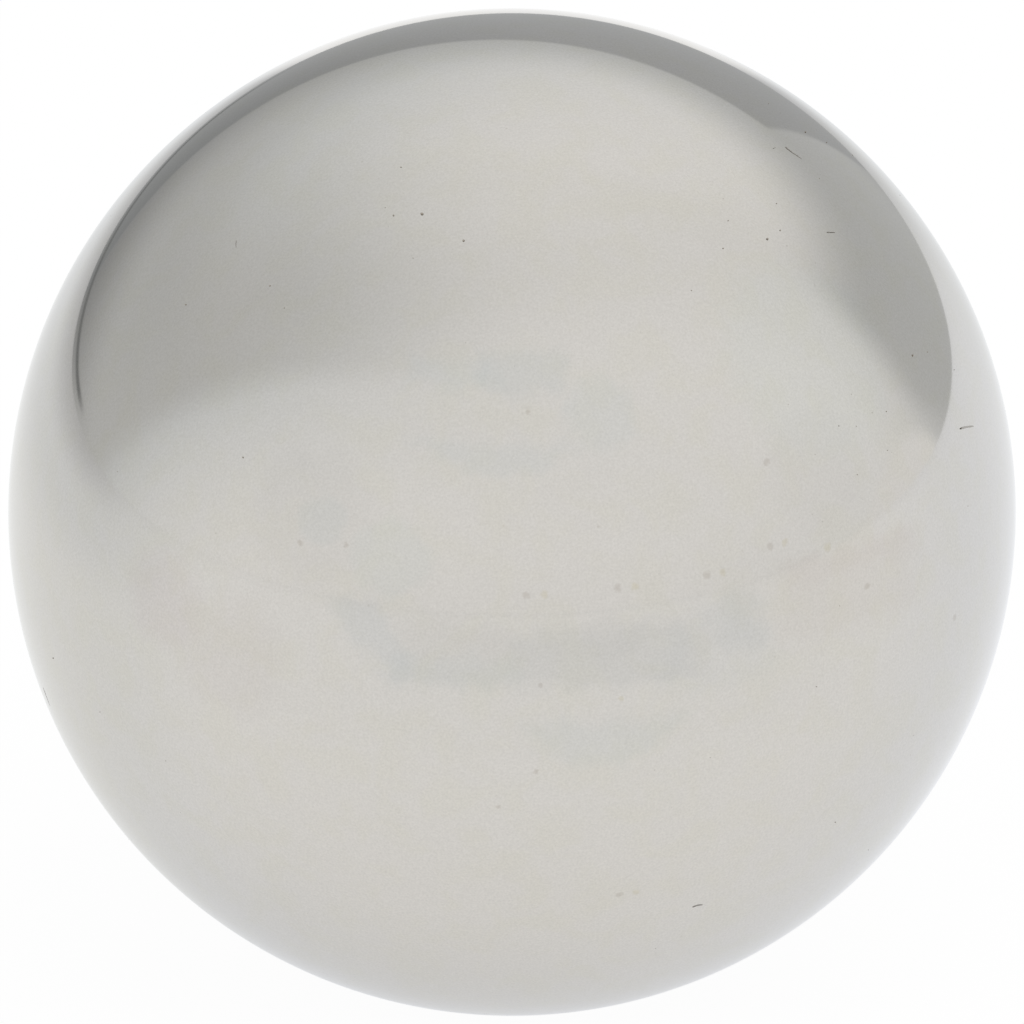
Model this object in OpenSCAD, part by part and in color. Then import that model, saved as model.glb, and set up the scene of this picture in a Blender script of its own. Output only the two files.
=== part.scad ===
// Steel ball: one solid sphere of hardened bearing steel, ground, lapped and polished.
// Millimetres, +Z up. The origin is the ball's centre.

/* [Ball] */
// Diameter across the ball: 25.4 is the one-inch stock size
ball_d = 25.4; // [3:0.1:100]

/* [Hidden] */
// Bright bearing steel in even light
steel = [0.81, 0.8, 0.78];
// Segments round the ball in a drawn preview
$fn = 144;

// The ball: solid right through and round to the whole of its surface, with no flat and no hole
module ball() {
    color(steel) sphere(d = ball_d);
}

ball();
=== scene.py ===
"""Steel ball: the looks of one polished bearing ball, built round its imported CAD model.

Lengths are in metres in the CAD frame, with the ball's centre at the origin, unless a name ends
in _mm. Directions from that centre are an azimuth and an elevation in degrees. Azimuth 0 is
straight in front of the ball, towards -Y, and grows to the right, towards +X, so 180 is straight
behind it.

A polished ball is a mirror, so the studio round it is built with as much care as its own surface:
a pale table, and a white tent whose wall, card and open back give the ball its grey shapes.
"""
import logging
import math
from dataclasses import dataclass, field
from enum import Enum
from typing import Any

import bpy
import numpy as np
from mathutils import Matrix, Quaternion, Vector


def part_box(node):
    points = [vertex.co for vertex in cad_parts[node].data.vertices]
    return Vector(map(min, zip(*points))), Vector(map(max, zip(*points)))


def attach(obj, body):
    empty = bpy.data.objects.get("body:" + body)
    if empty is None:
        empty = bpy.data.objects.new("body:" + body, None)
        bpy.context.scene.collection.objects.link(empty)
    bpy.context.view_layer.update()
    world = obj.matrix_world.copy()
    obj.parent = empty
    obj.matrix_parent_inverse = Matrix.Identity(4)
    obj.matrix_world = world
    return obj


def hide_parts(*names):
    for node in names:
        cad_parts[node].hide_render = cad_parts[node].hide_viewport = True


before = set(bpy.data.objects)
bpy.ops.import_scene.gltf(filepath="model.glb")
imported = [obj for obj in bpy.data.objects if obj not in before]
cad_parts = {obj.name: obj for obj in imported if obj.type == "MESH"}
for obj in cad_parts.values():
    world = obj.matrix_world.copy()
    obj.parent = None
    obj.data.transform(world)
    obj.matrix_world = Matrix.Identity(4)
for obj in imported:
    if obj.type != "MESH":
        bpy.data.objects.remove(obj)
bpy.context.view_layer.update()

LOG = logging.getLogger("steel_ball")
MM = 0.001
MM_PER_METRE = 1000.0
BALL_NODE = "ball"
BODY = "root"
WHITE = "#FFFFFF"
HALF_TURN_DEGREES = 180.0

# The curve of the sRGB standard: a straight foot, and a power above it
BYTE_MAX = 255
SRGB_FOOT_TOP = 0.04045
SRGB_FOOT_SLOPE = 12.92
SRGB_OFFSET = 0.055
SRGB_POWER = 2.4

# A Mix node's colour sockets share their names with its number sockets, so they go by number
MIX_BELOW = 6
MIX_ABOVE = 7
MIX_COLOUR = 2

# The middle of a noise texture's colour, and how many finer layers each noise has
NOISE_MIDDLE = (0.5, 0.5, 0.5)
RAG_DETAIL = 3.0
MOTTLE_DETAIL = 2.0

Colour = tuple[float, float, float, float]


def linear(hex_colour: str) -> Colour:
    """Turns an sRGB hex colour into the linear colour that a shader socket takes.

    Args:
        hex_colour: the colour as "#RRGGBB"

    Returns:
        linear red, green and blue, with an alpha of 1
    """
    red, green, blue = (
        share / SRGB_FOOT_SLOPE
        if share <= SRGB_FOOT_TOP
        else ((share + SRGB_OFFSET) / (1 + SRGB_OFFSET)) ** SRGB_POWER
        for share in (byte / BYTE_MAX for byte in bytes.fromhex(hex_colour.removeprefix("#")))
    )
    return (red, green, blue, 1.0)


def bearing(azimuth: float, elevation: float) -> Vector:
    """Gives the unit vector of a direction as seen from the ball's centre.

    Args:
        azimuth: degrees round from the front, towards the right
        elevation: degrees above the level of the centre

    Returns:
        the unit vector
    """
    around = math.radians(azimuth)
    above = math.radians(elevation)
    return Vector((
        math.sin(around) * math.cos(above),
        -math.cos(around) * math.cos(above),
        math.sin(above),
    ))


def add_node(
    tree: bpy.types.NodeTree,
    kind: str,
    settings: dict[str, Any] | None = None,
    links: dict[str | int, Any] | None = None,
) -> bpy.types.Node:
    """Adds one node with its settings and its links.

    Args:
        tree: the node tree that the node joins
        kind: the node's type
        settings: values for the node's own properties, by name
        links: for each input, by name or number, the socket that feeds it or its value

    Returns:
        the new node
    """
    node = tree.nodes.new(kind)
    for name, value in (settings or {}).items():
        setattr(node, name, value)
    for name, source in (links or {}).items():
        if isinstance(source, bpy.types.NodeSocket):
            tree.links.new(source, node.inputs[name])
        else:
            node.inputs[name].default_value = source
    return node


def new_material(name: str) -> tuple[bpy.types.Material, bpy.types.NodeTree]:
    """Makes an empty node material.

    Args:
        name: the material's name

    Returns:
        the material and its node tree
    """
    material = bpy.data.materials.new(name)
    material.use_nodes = True
    material.node_tree.nodes.clear()
    return material, material.node_tree


def new_object(name: str, points: np.ndarray, faces: list[tuple[int, ...]]) -> bpy.types.Object:
    """Makes a smooth-shaded mesh object at the origin.

    Args:
        name: the object's name
        points: one row of x, y and z in metres for each vertex
        faces: the vertices of each face, counter-clockwise from outside

    Returns:
        the object, linked to the scene
    """
    mesh = bpy.data.meshes.new(name)
    mesh.from_pydata(points.tolist(), [], faces)
    mesh.shade_smooth()
    piece = bpy.data.objects.new(name, mesh)
    bpy.context.scene.collection.objects.link(piece)
    return piece


# ---------------------------------------------------------------- patches of tone


@dataclass(frozen=True)
class Edge:
    """One round edge of a patch of tone, given by angles from an axis.

    An edge 90 degrees from its axis is straight. The patch lies on the side of full.

    Attributes:
        azimuth: the axis's azimuth
        elevation: the axis's elevation
        clear: degrees from the axis at which the patch has faded out
        full: degrees from the axis at which the patch has its whole tone
    """

    azimuth: float
    elevation: float
    clear: float
    full: float


@dataclass(frozen=True)
class Patch:
    """A patch of one tone, inside all of its edges.

    Attributes:
        name: what it is, which labels its node
        tone: its colour
        edges: the edges that bound it, each on its own side
    """

    name: str
    tone: str
    edges: tuple[Edge, ...]


class Coat(Enum):
    """How a patch lies on the colour below it: each value names the mix that does it."""

    COVER = "MIX"
    TINT = "MULTIPLY"


@dataclass
class Painter:
    """Paints patches over a colour, by the direction in which each place is seen.

    Attributes:
        tree: the node tree to paint in
        direction: a socket with the unit vector from the ball's centre
    """

    tree: bpy.types.NodeTree
    direction: bpy.types.NodeSocket

    def mask(self, edges: tuple[Edge, ...]) -> Any:
        """Draws the inside of all the edges together.

        Args:
            edges: the patch's edges

        Returns:
            a socket that is 1 inside every edge and falls to 0 outside any
        """
        inside: Any = 1.0
        for edge in edges:
            towards = add_node(
                self.tree, "ShaderNodeVectorMath", {"operation": "DOT_PRODUCT"},
                {0: self.direction, 1: bearing(edge.azimuth, edge.elevation)},
            )
            within = add_node(
                self.tree, "ShaderNodeMapRange", {"interpolation_type": "SMOOTHSTEP"},
                {
                    "Value": towards.outputs["Value"],
                    "From Min": math.cos(math.radians(edge.clear)),
                    "From Max": math.cos(math.radians(edge.full)),
                    "To Max": inside,
                },
            )
            inside = within.outputs[0]
        return inside

    def paint(self, ground: Any, patches: tuple[Patch, ...], coat: Coat) -> Any:
        """Paints patches one over the other.

        Args:
            ground: the colour below, a socket or a value
            patches: the patches, the lowest first
            coat: whether they cover or only tint what is below

        Returns:
            the painted colour
        """
        colour = ground
        for patch in patches:
            mixed = add_node(
                self.tree, "ShaderNodeMix",
                {"data_type": "RGBA", "blend_type": coat.value, "label": patch.name},
                {"Factor": self.mask(patch.edges), MIX_BELOW: colour, MIX_ABOVE: linear(patch.tone)},
            )
            colour = mixed.outputs[MIX_COLOUR]
        return colour


def frayed(
    tree: bpy.types.NodeTree,
    direction: bpy.types.NodeSocket,
    width: float,
    reach: float,
) -> bpy.types.NodeSocket:
    """Shifts a direction a little from place to place, so that what it paints has ragged edges.

    Args:
        tree: the node tree
        direction: the unit vector from the ball's centre
        width: how many degrees wide the rags are
        reach: how many degrees the direction is shifted at most

    Returns:
        the shifted unit vector
    """
    rags = add_node(
        tree, "ShaderNodeTexNoise", None,
        {"Vector": direction, "Scale": 1 / math.radians(width), "Detail": RAG_DETAIL},
    )
    either_way = add_node(
        tree, "ShaderNodeVectorMath", {"operation": "SUBTRACT"},
        {0: rags.outputs["Color"], 1: NOISE_MIDDLE},
    )
    shift = 2 * math.radians(reach)
    shifted = add_node(
        tree, "ShaderNodeVectorMath", {"operation": "MULTIPLY_ADD"},
        {0: either_way.outputs[0], 1: (shift, shift, shift), 2: direction},
    )
    unit = add_node(
        tree, "ShaderNodeVectorMath", {"operation": "NORMALIZE"}, {0: shifted.outputs[0]}
    )
    return unit.outputs[0]


# ---------------------------------------------------------------- finishes


@dataclass(frozen=True)
class Stain:
    """A dried spot on the steel, given by where it lies on the ball.

    Attributes:
        longitude: degrees round from the front, towards the right
        latitude: degrees above the ball's middle
        width: how many degrees of the ball it covers
        tone: the steel's colour in the middle of it
    """

    longitude: float
    latitude: float
    width: float
    tone: str

    def patch(self) -> Patch:
        """Gives the spot as a patch that fades from its middle."""
        return Patch("stain", self.tone, (Edge(self.longitude, self.latitude, self.width / 2, 0.0),))


GREY_STAIN = "#F1EFED"
OCHRE_STAIN = "#F9F7EF"
# Forked tweezers leave their marks two by two: grey where they press, ochre where they touch. The
# gap between the two, and how wide each one is, are in degrees of the ball
TWEEZER_GAP = 2.0
TWEEZER_WIDTH = 1.1
TWEEZER_MARKS = ((1.5, 13.3), (11.4, 13.6), (21.5, 13.9), (29.5, 15.7), (12.8, -24.5))
PRESSED = tuple(Stain(lon, lat, TWEEZER_WIDTH, GREY_STAIN) for lon, lat in TWEEZER_MARKS)
TOUCHED = tuple(
    Stain(lon + TWEEZER_GAP, lat, TWEEZER_WIDTH, OCHRE_STAIN) for lon, lat in TWEEZER_MARKS
)
DRIED = (
    Stain(31, 24.5, 1.1, GREY_STAIN), Stain(-24, 17, 0.9, GREY_STAIN),
    Stain(-18.5, 17.5, 0.7, GREY_STAIN), Stain(2, 32.5, 0.8, GREY_STAIN),
    Stain(3, 3.5, 0.7, GREY_STAIN), Stain(11.5, 1.5, 0.7, OCHRE_STAIN),
    Stain(2.5, -6.5, 0.7, GREY_STAIN), Stain(-1.5, -11, 0.7, GREY_STAIN),
    Stain(37, 14, 1.4, OCHRE_STAIN), Stain(42, 8.5, 1.0, GREY_STAIN),
    Stain(57.5, 0, 1.0, GREY_STAIN),
)

# Painted reflections: patches that stand for shades of the studio as the mirror shows them,
# tinted fixed onto the steel in the shapes of smears, cool in most places and faintly warm in a few
REFLECTED_ARC_FOOT = Edge(0, 90, 88, 85.6)
PAINTED_REFLECTION_SMEARS = (
    Patch("reflected_belt_haze", "#FDFDFD", (Edge(0, 90, 71, 78), Edge(0, -90, 82, 90), Edge(6, 5, 40, 28))),
    Patch("reflected_arc_haze", "#FDFDFD", (
        Edge(4, 50, 45, 42), Edge(-176, -50, 143, 137), Edge(6, 8, 27, 20),
    )),
    Patch("reflected_arc", "#FAFAFA", (REFLECTED_ARC_FOOT, Edge(0, -90, 101.5, 98), Edge(4.5, 5, 18.5, 14))),
    Patch("reflected_arc_left", "#FBFDFE", (REFLECTED_ARC_FOOT, Edge(0, -90, 98, 95), Edge(-6, 4.5, 8, 5))),
    Patch("reflected_arc_right", "#FCFDFE", (REFLECTED_ARC_FOOT, Edge(0, -90, 101, 98), Edge(9.5, 6, 11, 8))),
    Patch("reflected_arc_core", "#FDFDFD", (Edge(10.5, 8, 4, 1.5),)),
    Patch("reflected_arc_hook", "#F8FAFC", (
        Edge(82, 40, 93.4, 90.8), Edge(-98, -40, 93.4, 90.8), Edge(-15.7, 7.2, 6.5, 3.5),
    )),
    Patch("reflected_arc_end", "#F8F9FA", (Edge(25.3, 8.6, 4.6, 0.6),)),
    Patch("reflected_arc_tail", "#FCFDFE", (Edge(22.5, 3.6, 8.5, 5), Edge(0, 90, 90, 87))),
    Patch("reflected_low_dab", "#FAFCFD", (Edge(9.8, 4.2, 11.4, 9.2), Edge(0, -90, 90.5, 87.5))),
    Patch("reflected_upper_arc", "#FAFCFD", (Edge(-2.2, 39.3, 14.2, 12.6), Edge(0, -90, 120, 117.5))),
    Patch("reflected_upper_arc_end", "#FBFDFE", (Edge(11, 31.8, 4.6, 2.6),)),
    Patch("reflected_upper_patch", "#F9FBFC", (
        Edge(1.6, 37, 5.8, 3.6), Edge(0, 90, 56.6, 54.4), Edge(0, -90, 130.4, 128),
    )),
    Patch("reflected_upper_trail", "#FCFEFF", (
        Edge(-8, 36.2, 6, 3.5), Edge(0, 90, 56, 54), Edge(0, -90, 129, 127),
    )),
    Patch("reflected_left_haze", "#FBFBFB", (Edge(-23, 20, 8.5, 4.5),)),
    Patch("reflected_left_dab", "#FAFCFD", (Edge(-21.6, 19.8, 3.4, 1.7),)),
    Patch("reflected_pale_dab", "#FBFDFD", (Edge(-13.2, 16.5, 4.8, 3),)),
    Patch("reflected_left_patch", "#FBFAFA", (Edge(-31.5, 3.2, 8.6, 2),)),
    Patch("reflected_left_streak", "#FBF9FA", (Edge(-41, 7.3, 6.5, 2),)),
    Patch("reflected_right_patch", "#FCFBFA", (
        Edge(0, 90, 87.5, 84), Edge(0, -90, 105, 103), Edge(40, 9, 12.5, 8),
    )),
    Patch("reflected_right_streak", "#FDFCFC", (
        Edge(0, 90, 80.5, 78.5), Edge(0, -90, 104.2, 102), Edge(41, 12, 12, 8),
    )),
    Patch("reflected_right_dab", "#FCFCFC", (Edge(37.5, 22.5, 8, 4),)),
    Patch("reflected_cool_haze", "#FDFFFF", (Edge(42, 34, 13, 8),)),
    Patch("reflected_upper_streak", "#FDFDFC", (
        Edge(174, 30, 95, 91), Edge(-6, -30, 95, 91), Edge(5, 57, 34, 14),
    )),
)


@dataclass(frozen=True)
class LappedSteel:
    """Bearing steel, hardened, ground, lapped and polished to a mirror.

    Lapping leaves a grain too fine for the eye to follow, so the steel is a clear, slightly warm
    mirror that only softens the edges of what it reflects. Handling leaves a thin film in clouds,
    pinpricks where damp has dried, and a few larger dried spots. Over them lie painted
    reflections: patches of the studio's shades, tinted fixed onto the steel in the shapes of smears.

    Attributes:
        name: the material's name
        bright: the steel's colour between the lapping scores
        dull: its colour in them
        film: what a cloud of film does to the colour below it
        pinprick: what a pinprick does to it
        roughness: the clean steel's roughness
        film_roughness: the roughness in the film
        cloud_size_mm: how wide a cloud is
        cloud_detail: how many finer layers the clouds have
        cloud_swirl: how far the clouds are drawn out of shape
        cloud_edge: where in the noise a cloud starts, and where it is whole
        grain_size_mm: how wide a score is drawn
        grain_depth_mm: how deep it is
        grain_detail: how many finer layers the scores have
        pinprick_gap_mm: how far apart the pinpricks lie
        pinprick_mm: how wide they are
        smear_rags: the width and the reach, in degrees, of the rags of a smear's edge
        stain_rags: the same for a stain
        smears: the painted reflections, tinted onto the steel in the shapes of smears
        stains: the dried spots
    """

    name: str = "lapped_bearing_steel"
    bright: str = "#D8D5D0"
    dull: str = "#C7C4BF"
    film: str = "#FEFEFB"
    pinprick: str = "#ECEAE6"
    roughness: float = 0.05
    film_roughness: float = 0.06
    cloud_size_mm: float = 0.9
    cloud_detail: float = 4.0
    cloud_swirl: float = 0.4
    cloud_edge: tuple[float, float] = (0.4, 0.68)
    # Lapping scores are under 0.001 mm wide, so they are drawn at the least width that shows
    grain_size_mm: float = 0.055
    grain_depth_mm: float = 0.00001
    grain_detail: float = 1.0
    pinprick_gap_mm: float = 1.1
    pinprick_mm: float = 0.09
    smear_rags: tuple[float, float] = (3.0, 2.0)
    stain_rags: tuple[float, float] = (0.6, 0.35)
    smears: tuple[Patch, ...] = PAINTED_REFLECTION_SMEARS
    stains: tuple[Stain, ...] = PRESSED + TOUCHED + DRIED

    def build(self) -> bpy.types.Material:
        """Builds the material.

        Returns:
            the material
        """
        material, tree = new_material(self.name)
        place = add_node(tree, "ShaderNodeTexCoord").outputs["Object"]
        place_mm = add_node(
            tree, "ShaderNodeVectorMath", {"operation": "SCALE"}, {0: place, "Scale": MM_PER_METRE}
        ).outputs[0]
        outward = add_node(
            tree, "ShaderNodeVectorMath", {"operation": "NORMALIZE"}, {0: place}
        ).outputs[0]
        grain = add_node(
            tree, "ShaderNodeTexNoise", None,
            {
                "Vector": place_mm,
                "Scale": 1 / self.grain_size_mm,
                "Detail": self.grain_detail,
            },
        ).outputs[0]
        film = self.film_mask(tree, place_mm)
        colour = add_node(
            tree, "ShaderNodeMix", {"data_type": "RGBA"},
            {"Factor": grain, MIX_BELOW: linear(self.dull), MIX_ABOVE: linear(self.bright)},
        ).outputs[MIX_COLOUR]
        for mask, tone in ((film, self.film), (self.pinprick_mask(tree, place_mm), self.pinprick)):
            colour = add_node(
                tree, "ShaderNodeMix", {"data_type": "RGBA", "blend_type": Coat.TINT.value},
                {"Factor": mask, MIX_BELOW: colour, MIX_ABOVE: linear(tone)},
            ).outputs[MIX_COLOUR]
        # Painted reflections: shades of the studio tinted fixed onto the steel, over the grain and
        # the film
        smearer = Painter(tree, frayed(tree, outward, *self.smear_rags))
        colour = smearer.paint(colour, self.smears, Coat.TINT)
        spotter = Painter(tree, frayed(tree, outward, *self.stain_rags))
        spots = tuple(stain.patch() for stain in self.stains)
        colour = spotter.paint(colour, spots, Coat.TINT)
        rough = add_node(
            tree, "ShaderNodeMapRange", None,
            {"Value": film, "To Min": self.roughness, "To Max": self.film_roughness},
        )
        bump = add_node(
            tree, "ShaderNodeBump", None,
            {"Strength": 1.0, "Distance": self.grain_depth_mm * MM, "Height": grain},
        )
        shader = add_node(
            tree, "ShaderNodeBsdfPrincipled", None,
            {
                "Base Color": colour,
                "Metallic": 1.0,
                "Roughness": rough.outputs[0],
                "Normal": bump.outputs[0],
            },
        )
        add_node(tree, "ShaderNodeOutputMaterial", None, {"Surface": shader.outputs[0]})
        return material

    def film_mask(
        self, tree: bpy.types.NodeTree, place_mm: bpy.types.NodeSocket
    ) -> bpy.types.NodeSocket:
        """Draws where the film lies in clouds.

        Args:
            tree: the material's tree
            place_mm: the place on the ball in millimetres

        Returns:
            a socket that is 0 on clean steel and 1 in the film
        """
        cloud = add_node(
            tree, "ShaderNodeTexNoise", None,
            {
                "Vector": place_mm,
                "Scale": 1 / self.cloud_size_mm,
                "Detail": self.cloud_detail,
                "Distortion": self.cloud_swirl,
            },
        )
        start, whole = self.cloud_edge
        edge = add_node(
            tree, "ShaderNodeMapRange", {"interpolation_type": "SMOOTHSTEP"},
            {"Value": cloud.outputs[0], "From Min": start, "From Max": whole},
        )
        return edge.outputs[0]

    def pinprick_mask(
        self, tree: bpy.types.NodeTree, place_mm: bpy.types.NodeSocket
    ) -> bpy.types.NodeSocket:
        """Draws the pinpricks, some fainter than others.

        Args:
            tree: the material's tree
            place_mm: the place on the ball in millimetres

        Returns:
            a socket that is 0 on clean steel and up to 1 in a pinprick
        """
        cells = add_node(
            tree, "ShaderNodeTexVoronoi", None,
            {"Vector": place_mm, "Scale": 1 / self.pinprick_gap_mm},
        )
        chance = add_node(tree, "ShaderNodeSeparateColor", None, {0: cells.outputs["Color"]})
        reach = self.pinprick_mm / 2 / self.pinprick_gap_mm
        spot = add_node(
            tree, "ShaderNodeMapRange", {"interpolation_type": "SMOOTHSTEP"},
            {
                "Value": cells.outputs["Distance"],
                "From Min": reach,
                "From Max": 0.0,
                "To Max": chance.outputs[0],
            },
        )
        return spot.outputs[0]


@dataclass(frozen=True)
class CottonLint:
    """Frayed cotton from a dyed wiping rag.

    Its twisted fibres are matt and grey, so they stand out on the mirror as soft grey lines.
    """

    name: str = "frayed_cotton_lint"
    deep: str = "#94918D"
    worn: str = "#AFACA7"
    roughness: float = 0.95
    # Cotton fibres are about 0.015 mm thick, and twisted together they mottle at twice that
    mottle_mm: float = 0.03

    def build(self) -> bpy.types.Material:
        """Builds the material."""
        return matt_speck(self.name, self.deep, self.worn, self.roughness, self.mottle_mm)


@dataclass(frozen=True)
class EmeryGrit:
    """Crushed emery from the grinding shop, so fine that it looks grey-brown, and broken rough."""

    name: str = "crushed_emery_grit"
    deep: str = "#827A70"
    worn: str = "#A59D92"
    roughness: float = 0.8
    # A grain breaks into facets about half as wide as itself
    mottle_mm: float = 0.025

    def build(self) -> bpy.types.Material:
        """Builds the material."""
        return matt_speck(self.name, self.deep, self.worn, self.roughness, self.mottle_mm)


def matt_speck(
    name: str, deep: str, worn: str, roughness: float, mottle_mm: float
) -> bpy.types.Material:
    """Builds a matt material that is mottled between two colours.

    Args:
        name: the material's name
        deep: its dark colour
        worn: its pale colour
        roughness: how matt it is
        mottle_mm: how wide a mottle is

    Returns:
        the material
    """
    material, tree = new_material(name)
    place = add_node(tree, "ShaderNodeTexCoord").outputs["Object"]
    mottle = add_node(
        tree, "ShaderNodeTexNoise", None,
        {"Vector": place, "Scale": MM_PER_METRE / mottle_mm, "Detail": MOTTLE_DETAIL},
    )
    colour = add_node(
        tree, "ShaderNodeMix", {"data_type": "RGBA"},
        {"Factor": mottle.outputs[0], MIX_BELOW: linear(deep), MIX_ABOVE: linear(worn)},
    )
    shader = add_node(
        tree, "ShaderNodeBsdfPrincipled", None,
        {"Base Color": colour.outputs[MIX_COLOUR], "Roughness": roughness},
    )
    add_node(tree, "ShaderNodeOutputMaterial", None, {"Surface": shader.outputs[0]})
    return material


# The table as the ball mirrors it: its far side takes the cool light of the tent's open back, and
# the tent's wall and the wall's foot shade the far left of it
TABLE_PATCHES = (
    Patch("cool_side", "#F9FBFF", (Edge(180, -40, 100, 62),)),
    Patch("wall_side", "#F8F9F9", (Edge(-140, 0, 85, 45),)),
    Patch("wall_shade", "#EDEFF1", (Edge(0, -90, 74, 84), Edge(-150, 0, 78, 45))),
    Patch("wall_foot_shade", "#CFD0D2", (Edge(0, -90, 84, 90), Edge(-153, 0, 62, 35))),
    Patch("bright_back", WHITE, (Edge(180, 0, 12, 8),)),
)


@dataclass(frozen=True)
class TableLaminate:
    """Pale matt laminate, pressed smooth.

    It is white, and seen straight it shows only the soft shadow of what stands on it. Most of its
    tone is its own glow, so that the table stays white right up to the object. Wherever it is not
    seen straight, as in the ball's mirror, it also shows painted shade and cool light, by the
    direction from the ball's centre.

    Attributes:
        name: the material's name
        tone: its colour
        own_share: how much of its tone is its own where it is seen straight
        own_share_mirrored: the same where it is seen in metal or through glass
        patches: its painted shade and cool light, as the ball mirrors it
    """

    name: str = "pale_table_laminate"
    tone: str = WHITE
    own_share: float = 0.96
    own_share_mirrored: float = 0.66
    patches: tuple[Patch, ...] = TABLE_PATCHES

    def build(self) -> bpy.types.Material:
        """Builds the material.

        Returns:
            the material
        """
        material, tree = new_material(self.name)
        rays = add_node(tree, "ShaderNodeLightPath").outputs
        place = add_node(tree, "ShaderNodeTexCoord").outputs["Object"]
        outward = add_node(tree, "ShaderNodeVectorMath", {"operation": "NORMALIZE"}, {0: place})
        # Painted shade and cool light, for every ray but the camera's
        shaded = Painter(tree, outward.outputs[0]).paint(
            linear(self.tone), self.patches, Coat.COVER
        )
        tone = add_node(
            tree, "ShaderNodeMix", {"data_type": "RGBA"},
            {
                "Factor": rays["Is Camera Ray"],
                MIX_BELOW: shaded,
                MIX_ABOVE: linear(self.tone),
            },
        ).outputs[MIX_COLOUR]
        mirrored = add_node(
            tree, "ShaderNodeMath", {"operation": "MAXIMUM"},
            {0: rays["Is Glossy Ray"], 1: rays["Is Transmission Ray"]},
        )
        share = add_node(
            tree, "ShaderNodeMath", {"operation": "MULTIPLY"},
            {0: mirrored.outputs[0], 1: self.own_share_mirrored},
        )
        share = add_node(
            tree, "ShaderNodeMath", {"operation": "MULTIPLY_ADD"},
            {0: rays["Is Camera Ray"], 1: self.own_share, 2: share.outputs[0]},
        )
        lit = add_node(tree, "ShaderNodeBsdfDiffuse", None, {"Color": tone})
        own = add_node(tree, "ShaderNodeEmission", None, {"Color": tone, "Strength": 1.0})
        surface = add_node(
            tree, "ShaderNodeMixShader", None,
            {0: share.outputs[0], 1: lit.outputs[0], 2: own.outputs[0]},
        )
        add_node(tree, "ShaderNodeOutputMaterial", None, {"Surface": surface.outputs[0]})
        return material


# ---------------------------------------------------------------- the ball and what lies on it


AXES = 3
EIGHTH_TURN = math.pi / 4
# Corners that agree to this many decimal places are the same corner
CORNER_DECIMALS = 9


@dataclass
class PolishedBall:
    """The ball's own surface, as fine as its mirror needs, in place of the CAD sphere.

    Attributes:
        radius: the ball's radius
        cells: how many faces lie along each edge of the cube that it is rounded from
        finish: the steel
    """

    radius: float
    cells: int = 80
    finish: LappedSteel = field(default_factory=LappedSteel)

    def build(self) -> bpy.types.Object:
        """Builds the ball, dresses it and makes it stand for the CAD node.

        Returns:
            the ball's object
        """
        points, faces = self.rounded_cube()
        ball = new_object("polished_ball", points, faces)
        ball.data.normals_split_custom_set_from_vertices((points / self.radius).tolist())
        ball.data.materials.append(self.finish.build())
        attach(ball, BODY)
        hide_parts(BALL_NODE)
        return ball

    def rounded_cube(self) -> tuple[np.ndarray, list[tuple[int, ...]]]:
        """Lays a square net on each side of a cube and pushes it out to the sphere.

        Every face comes out close to square, and no point of the ball gathers long thin ones as
        the poles of a globe do.

        Returns:
            the vertices in metres, and the faces
        """
        net = np.tan(np.linspace(-1.0, 1.0, self.cells + 1) * EIGHTH_TURN)
        index: dict[tuple[float, ...], int] = {}
        points: list[np.ndarray] = []
        faces: list[tuple[int, ...]] = []
        for axis in range(AXES):
            for side in (-1.0, 1.0):
                rows = []
                for u in net:
                    row = []
                    for v in net:
                        corner = np.empty(AXES)
                        corner[axis] = side
                        corner[(axis + 1) % AXES] = u * side
                        corner[(axis + 2) % AXES] = v
                        key = tuple(np.round(corner, CORNER_DECIMALS))
                        if key not in index:
                            index[key] = len(points)
                            points.append(corner / np.linalg.norm(corner) * self.radius)
                        row.append(index[key])
                    rows.append(row)
                for low, high in zip(rows, rows[1:]):
                    for j in range(self.cells):
                        faces.append((low[j], high[j], high[j + 1], low[j + 1]))
        return np.array(points), faces


# How sharply a hooked fibre turns, how square a fibre's ends are, and the least of its rounding
HOOK_POWER = 6
END_POWER = 8
END_LEAST = 0.02


class Lay(Enum):
    """How a fibre lies: each value says how its turn grows along its length."""

    BOWED = "turns evenly from end to end"
    WAVED = "turns one way, then back"
    HOOKED = "turns sharply near its start, then runs straight"

    def turn(self, share: float) -> float:
        """Gives how much of its whole turn a fibre has made.

        Args:
            share: the share of the length walked so far

        Returns:
            the share of the turn
        """
        if self is Lay.BOWED:
            return share
        if self is Lay.WAVED:
            return math.sin(2 * math.pi * share)
        return 1 - (1 - share) ** HOOK_POWER


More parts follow.
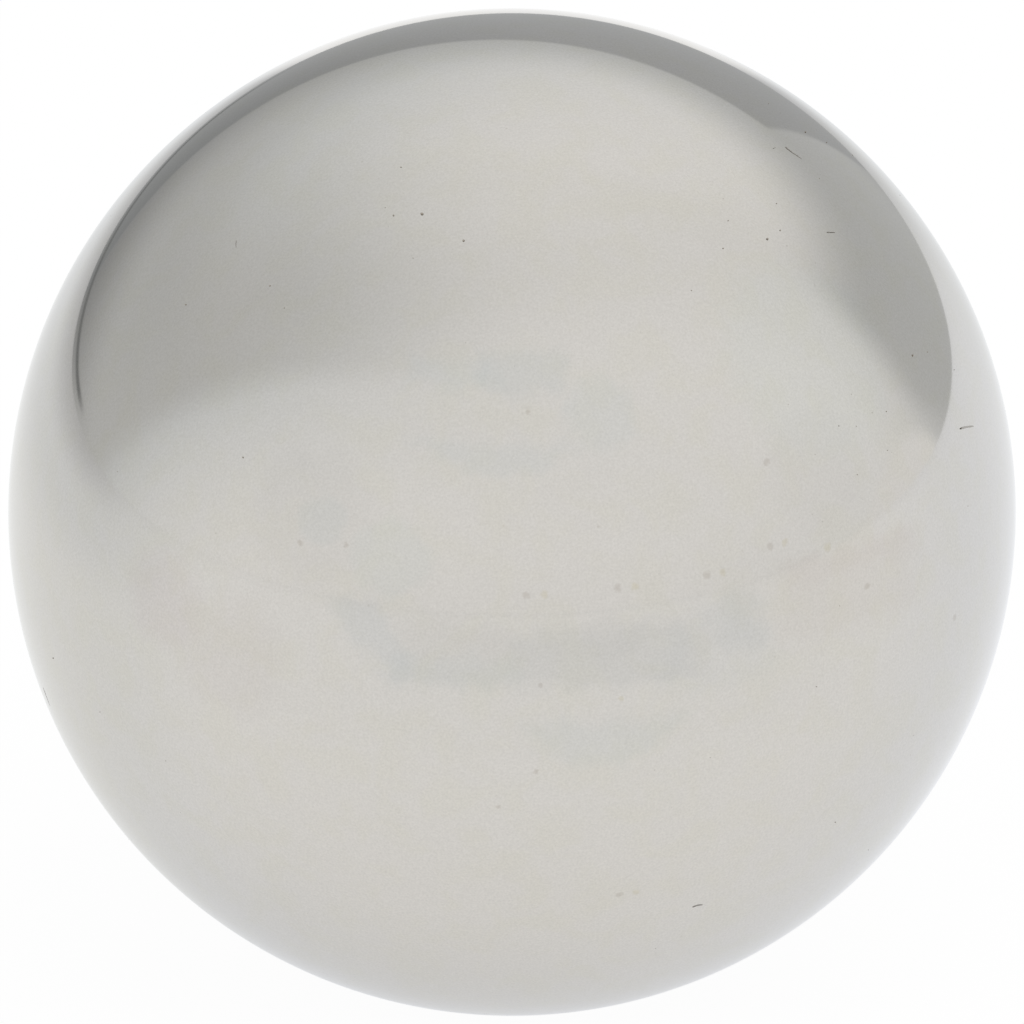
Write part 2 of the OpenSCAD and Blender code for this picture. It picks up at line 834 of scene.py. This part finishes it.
@dataclass(frozen=True)
class LintFibre:
    """One fibre of lint that clings along the ball.

    Attributes:
        name: the piece's name
        longitude: where it starts, degrees round from the front
        latitude: where it starts, degrees above the middle
        length_mm: its length along the ball
        thick_mm: its thickness at the start
        heading: the way it sets out, degrees up from the way to the right
        lay: how it lies
        turn: degrees that it turns to the left
        thin: its thickness at the end, as a share of that at the start
        steps: how many steps it is drawn in
        sides: how many faces it has round
    """

    name: str
    longitude: float
    latitude: float
    length_mm: float
    thick_mm: float
    heading: float
    lay: Lay
    turn: float
    thin: float = 0.6
    steps: int = 20
    sides: int = 8

    def build(self, radius: float) -> bpy.types.Object:
        """Builds the fibre and lays it on the ball.

        Args:
            radius: the ball's radius

        Returns:
            the fibre's object
        """
        rings: list[tuple[float, ...]] = []
        faces: list[tuple[int, ...]] = []
        for step, (up, ahead) in enumerate(self.line(radius)):
            share = step / self.steps
            rounding = math.sqrt(max(1 - abs(2 * share - 1) ** END_POWER, END_LEAST))
            reach = self.thick_mm * MM / 2 * (1 + (self.thin - 1) * share) * rounding
            centre = up * (radius + self.thick_mm * MM / 2)
            side = up.cross(ahead)
            for corner in range(self.sides):
                angle = 2 * math.pi * corner / self.sides
                spoke = side * math.cos(angle) + up * math.sin(angle)
                rings.append(tuple(centre + spoke * reach))
        for first in range(0, self.steps * self.sides, self.sides):
            for corner in range(self.sides):
                after = (corner + 1) % self.sides
                faces.append((
                    first + corner, first + after,
                    first + self.sides + after, first + self.sides + corner,
                ))
        last = self.steps * self.sides
        faces.append(tuple(reversed(range(self.sides))))
        faces.append(tuple(range(last, last + self.sides)))
        fibre = new_object(self.name, np.array(rings), faces)
        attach(fibre, BODY)
        return fibre

    def line(self, radius: float) -> list[tuple[Vector, Vector]]:
        """Walks the fibre's line over the ball.

        Args:
            radius: the ball's radius

        Returns:
            for each step, the way out from the ball's centre and the way ahead
        """
        up = bearing(self.longitude, self.latitude)
        right = Vector((0, 0, 1)).cross(up).normalized()
        ahead = Quaternion(up, math.radians(self.heading)) @ right
        stride = self.length_mm * MM / self.steps / radius
        walked = [(up, ahead)]
        for step in range(self.steps):
            share = self.lay.turn((step + 1) / self.steps) - self.lay.turn(step / self.steps)
            ahead = Quaternion(up, math.radians(self.turn * share)) @ ahead
            roll = Quaternion(up.cross(ahead), stride)
            up = roll @ up
            ahead = roll @ ahead
            walked.append((up, ahead))
        return walked


LINT_FIBRES = (
    LintFibre("lint_right", 65.0, 19.4, 0.76, 0.050, -10, Lay.BOWED, -9, thin=0.7),
    LintFibre("lint_low", 22.9, -28.7, 0.28, 0.018, 5, Lay.WAVED, 14, thin=0.8),
    LintFibre("lint_upper", 58.4, 45.8, 0.31, 0.026, -20, Lay.BOWED, 0, thin=0.9),
    LintFibre("lint_hook", 69.4, 56.2, 0.53, 0.022, -138, Lay.HOOKED, 62, thin=0.5),
    LintFibre("lint_bit", 65.3, 56.9, 0.12, 0.018, -10, Lay.BOWED, 0),
    LintFibre("lint_left", -48.1, 46.1, 0.22, 0.015, 142, Lay.BOWED, -28),
    LintFibre("lint_rim", -71.2, -14.1, 0.52, 0.006, -74, Lay.BOWED, 0),
)


@dataclass(frozen=True)
class Drift:
    """A loose drift of fine grains.

    Attributes:
        longitude: its middle, degrees round from the front
        latitude: its middle, degrees above the ball's middle
        spread: how many degrees its grains stray
        count: how many grains it has
    """

    longitude: float
    latitude: float
    spread: float
    count: int


# Longitude, latitude and width in millimetres of the grains that catch the eye
SEEN_GRAINS = (
    (-16.8, 54.8, 0.075), (-22, 54.2, 0.045), (-8.3, 51.8, 0.06), (-25, 60.7, 0.036),
    (45.2, 47.8, 0.06), (48.9, 48.2, 0.042), (36, 48.2, 0.036), (40, 51.2, 0.032),
    (52.5, 51.2, 0.032), (27.5, 44.2, 0.028), (-38, 43.2, 0.04), (-51, 38.2, 0.04),
    (-34, 41.2, 0.028), (60.5, 29.5, 0.05), (64.2, 28.8, 0.03), (51, 25.6, 0.032),
    (42.5, 26.1, 0.028), (34.5, -1, 0.028), (41, -20.5, 0.036), (-63, -7, 0.036),
    (-33, 24.6, 0.045), (69, 25.1, 0.028), (82, 55.2, 0.05), (84.8, 52.4, 0.035),
)
DRIFTS = (
    Drift(46, 22, 5, 9), Drift(80, 55, 5, 7), Drift(44, 50, 5, 5), Drift(-22, 50, 8, 7),
    Drift(30, -10, 11, 5), Drift(-40, -5, 10, 5),
)


@dataclass
class ShopGrit:
    """The grit that has settled on the ball: a few grains that show, drifts and strays.

    Attributes:
        radius: the ball's radius
        strays: how many more fine grains lie all over the ball
        fine_mm: the least and the greatest width of a fine grain
        lowest: how low a stray may lie, as a share of the radius above the ball's middle
        stretch: how far a grain is drawn out one way, least and greatest
        lumps: how its width varies from corner to corner, least and greatest
        tall: half its height, as a share of its width
        proud: how high its middle lies on the ball, as a share of half its height
        rows: how many rows of faces a grain has from bottom to top
        around: how many faces it has round
        seed: the seed for the grains' places and shapes
    """

    radius: float
    strays: int = 24
    fine_mm: tuple[float, float] = (0.012, 0.026)
    lowest: float = -0.8
    stretch: tuple[float, float] = (0.8, 1.3)
    lumps: tuple[float, float] = (0.75, 1.15)
    tall: float = 0.22
    proud: float = 0.9
    rows: int = 4
    around: int = 7
    seed: int = 11

    def build(self) -> bpy.types.Object:
        """Builds all the grains as one piece.

        Returns:
            the grit's object
        """
        draw = np.random.default_rng(self.seed)
        points: list[tuple[float, ...]] = []
        faces: list[tuple[int, ...]] = []
        for up, width_mm in self.places(draw):
            self.add_grain(draw, up, width_mm * MM, points, faces)
        grit = new_object("shop_grit", np.array(points), faces)
        grit.data.materials.append(EmeryGrit().build())
        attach(grit, BODY)
        return grit

    def places(self, draw: np.random.Generator) -> list[tuple[Vector, float]]:
        """Chooses where the grains lie.

        Args:
            draw: the source of chance

        Returns:
            for each grain, the way out from the ball's centre and its width in millimetres
        """
        grains = [(bearing(lon, lat), width) for lon, lat, width in SEEN_GRAINS]
        for drift in DRIFTS:
            for _ in range(drift.count):
                across, above = draw.normal(0.0, drift.spread, 2)
                around = across / math.cos(math.radians(drift.latitude))
                up = bearing(drift.longitude + around, drift.latitude + above)
                grains.append((up, draw.uniform(*self.fine_mm)))
        for _ in range(self.strays):
            level = math.degrees(math.asin(draw.uniform(self.lowest, 1.0)))
            up = bearing(draw.uniform(-HALF_TURN_DEGREES, HALF_TURN_DEGREES), level)
            grains.append((up, draw.uniform(*self.fine_mm)))
        return grains

    def add_grain(
        self,
        draw: np.random.Generator,
        up: Vector,
        width: float,
        points: list[tuple[float, ...]],
        faces: list[tuple[int, ...]],
    ) -> None:
        """Adds one broken grain, a flat lumpy bead with a shape of its own.

        Args:
            draw: the source of chance
            up: the way out from the ball's centre
            width: the grain's width in metres
            points: the grit's vertices, which grow
            faces: the grit's faces, which grow
        """
        first = len(points)
        stretch = draw.uniform(*self.stretch)
        turned = Quaternion(up, draw.uniform(0, 2 * math.pi))
        side = turned @ up.orthogonal().normalized()
        across = up.cross(side)
        tall = width * self.tall
        centre = up * (self.radius + tall * self.proud)
        points.append(tuple(centre - up * tall))
        for row in range(1, self.rows):
            level = math.pi * (2 * row / self.rows - 1) / 2
            for step in range(self.around):
                angle = 2 * math.pi * step / self.around
                reach = width / 2 * math.cos(level) * draw.uniform(*self.lumps)
                out = side * math.cos(angle) * stretch + across * math.sin(angle) / stretch
                points.append(tuple(centre + out * reach + up * math.sin(level) * tall))
        points.append(tuple(centre + up * tall))
        last = len(points) - 1
        top_ring = last - self.around
        for step in range(self.around):
            after = (step + 1) % self.around
            faces.append((first, first + 1 + after, first + 1 + step))
            for ring in range(first + 1, top_ring, self.around):
                high = ring + self.around
                faces.append((ring + step, ring + after, high + after, high + step))
            faces.append((top_ring + step, top_ring + after, last))


# ---------------------------------------------------------------- the studio


# The tent's open back is an arch, with a round rim above and a straight post at one side
ARCH_RIM = Edge(168.5, -29, 54.1, 53.2)
ARCH_POST = Edge(-111, 17, 90.5, 89.5)

# The tent's greys, painted one over the other: its wall, the card at its back, the light that the
# table throws up, the wall's foot, the open back and the gap under the wall
TENT_PATCHES = (
    Patch("wall_glow", "#DBE0E4", (Edge(171, 38, 126, 61), Edge(82, 58, 21, 96))),
    Patch("left_wall", "#D4D5D5", (
        Edge(158, 37, 99, 90), Edge(16, 6, 31, 110), Edge(165, 55, 3, 67), Edge(-145, 17, 120, 82),
    )),
    Patch("back_card", "#C9CBCC", (
        Edge(0, 90, 48, 71), Edge(-160, 7, 93.5, 82.5), Edge(-155, 54, 91.5, 83.5),
        Edge(177, 33, 96, 48),
    )),
    Patch("table_glow", "#F9F9F9", (Edge(100, -12, 20, 16.5),)),
    Patch("wall_foot", "#7A7B7D", (Edge(164, 42, 94, 89), Edge(-161, -27, 55, 0))),
    Patch("open_back", "#B3B5B7", (ARCH_RIM, ARCH_POST)),
    Patch("back_shadow", "#878A8C", (ARCH_RIM, ARCH_POST, Edge(-115, 16, 66.5, 0))),
    Patch("wall_gap", "#7A7C7D", (
        Edge(0, 90, 89.9, 89.5), Edge(0, -90, 91.3, 90.9), Edge(-145, 0, 26, 19),
    )),
)


@dataclass
class LightTent:
    """The white tent that lights the ball from every side and that the ball mirrors."""

    patches: tuple[Patch, ...] = TENT_PATCHES

    def build(self) -> bpy.types.World:
        """Builds the tent as the scene's world.

        The camera looks past the tent's patches to a plain white backdrop, and everything else,
        metal included, has the whole tent round it.

        Returns:
            the world
        """
        world = bpy.data.worlds.new("light_tent")
        world.use_nodes = True
        tree = world.node_tree
        tree.nodes.clear()
        painter = Painter(tree, add_node(tree, "ShaderNodeTexCoord").outputs["Generated"])
        cloth = painter.paint(linear(WHITE), self.patches, Coat.COVER)
        tent = add_node(tree, "ShaderNodeBackground", None, {"Color": cloth, "Strength": 1.0})
        backdrop = add_node(
            tree, "ShaderNodeBackground", None, {"Color": linear(WHITE), "Strength": 1.0}
        )
        rays = add_node(tree, "ShaderNodeLightPath")
        surface = add_node(
            tree, "ShaderNodeMixShader", None,
            {0: rays.outputs["Is Camera Ray"], 1: tent.outputs[0], 2: backdrop.outputs[0]},
        )
        add_node(tree, "ShaderNodeOutputWorld", None, {"Surface": surface.outputs[0]})
        bpy.context.scene.world = world
        return world


@dataclass
class ShootingTable:
    """The round table that the ball stands on.

    Attributes:
        height: the height of its top
        radius: its radius
        sides: how many sides its rim is drawn with
        finish: its laminate
    """

    height: float
    radius: float = 1.5
    sides: int = 96
    finish: TableLaminate = field(default_factory=TableLaminate)

    def build(self) -> bpy.types.Object:
        """Builds the table top and links it to the scene.

        Returns:
            the table's object
        """
        turns = np.linspace(0.0, 2 * math.pi, self.sides, endpoint=False)
        level = np.full(self.sides, self.height)
        rim = np.stack([self.radius * np.cos(turns), self.radius * np.sin(turns), level], axis=1)
        table = new_object("table_top", rim, [tuple(range(self.sides))])
        table.data.materials.append(self.finish.build())
        return table


@dataclass
class SoftBox:
    """The wide lamp above the tent that makes the ball's soft shadow.

    Attributes:
        reach: how far it hangs from the ball's centre
        width: how wide it is
        azimuth: the direction in which it hangs
        elevation: how high it hangs, in degrees
        power: its power in watts
    """

    reach: float = 0.9
    width: float = 0.7
    azimuth: float = 25.0
    elevation: float = 65.0
    power: float = 1.6

    def build(self) -> bpy.types.Object:
        """Hangs the lamp, out of the ball's mirror.

        Returns:
            the lamp's object
        """
        light = bpy.data.lights.new("soft_box", "AREA")
        light.shape = "DISK"
        light.size = self.width
        light.energy = self.power
        lamp = bpy.data.objects.new("soft_box", light)
        towards = bearing(self.azimuth, self.elevation)
        turn = towards.to_track_quat("Z", "Y").to_matrix().to_4x4()
        lamp.matrix_world = Matrix.Translation(towards * self.reach) @ turn
        lamp.visible_glossy = False
        bpy.context.scene.collection.objects.link(lamp)
        return lamp


@dataclass
class BenchCamera:
    """The camera, a little above the ball and close enough for it to fill the picture.

    Attributes:
        ball_radius: the ball's radius
        elevation: how high it stands, in degrees
        lens_mm: its focal length
        sensor_mm: how wide its sensor is
        fill: how much of the picture's width the ball takes
    """

    ball_radius: float
    elevation: float = 22.0
    lens_mm: float = 200.0
    sensor_mm: float = 36.0
    fill: float = 0.984

    def build(self) -> bpy.types.Object:
        """Sets the camera up and hands it to the scene.

        Returns:
            the camera's object
        """
        half_angle = math.atan(self.fill * self.sensor_mm / (2 * self.lens_mm))
        distance = self.ball_radius / math.sin(half_angle)
        data = bpy.data.cameras.new("bench_camera")
        data.lens = self.lens_mm
        data.sensor_width = self.sensor_mm
        data.clip_start = self.ball_radius
        camera = bpy.data.objects.new("bench_camera", data)
        towards = bearing(0.0, self.elevation)
        turn = towards.to_track_quat("Z", "Y").to_matrix().to_4x4()
        camera.matrix_world = Matrix.Translation(towards * distance) @ turn
        bpy.context.scene.collection.objects.link(camera)
        bpy.context.scene.camera = camera
        return camera


def main() -> None:
    """Builds the studio, the camera, the ball and what lies on it, and reports each."""
    logging.basicConfig(level=logging.INFO, format="%(name)s: %(message)s")
    bpy.context.scene.view_settings.view_transform = "Standard"
    low, high = (Vector(corner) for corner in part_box(BALL_NODE))
    radius = (high.z - low.z) / 2
    LOG.info("ball radius %.4f mm", radius * MM_PER_METRE)
    for part in (BenchCamera(radius), LightTent(), ShootingTable(low.z), SoftBox()):
        LOG.info("studio: %s", part.build().name)
    ball = PolishedBall(radius).build()
    LOG.info("%s: %d vertices, %d faces", ball.name, len(ball.data.vertices), len(ball.data.polygons))
    lint = CottonLint().build()
    for fibre in LINT_FIBRES:
        piece = fibre.build(radius)
        piece.data.materials.append(lint)
        LOG.info("%s: %.2f mm long, %s", piece.name, fibre.length_mm, fibre.lay.value)
    grit = ShopGrit(radius).build()
    LOG.info("%s: %d faces", grit.name, len(grit.data.polygons))


if __name__ == "__main__":
    main()
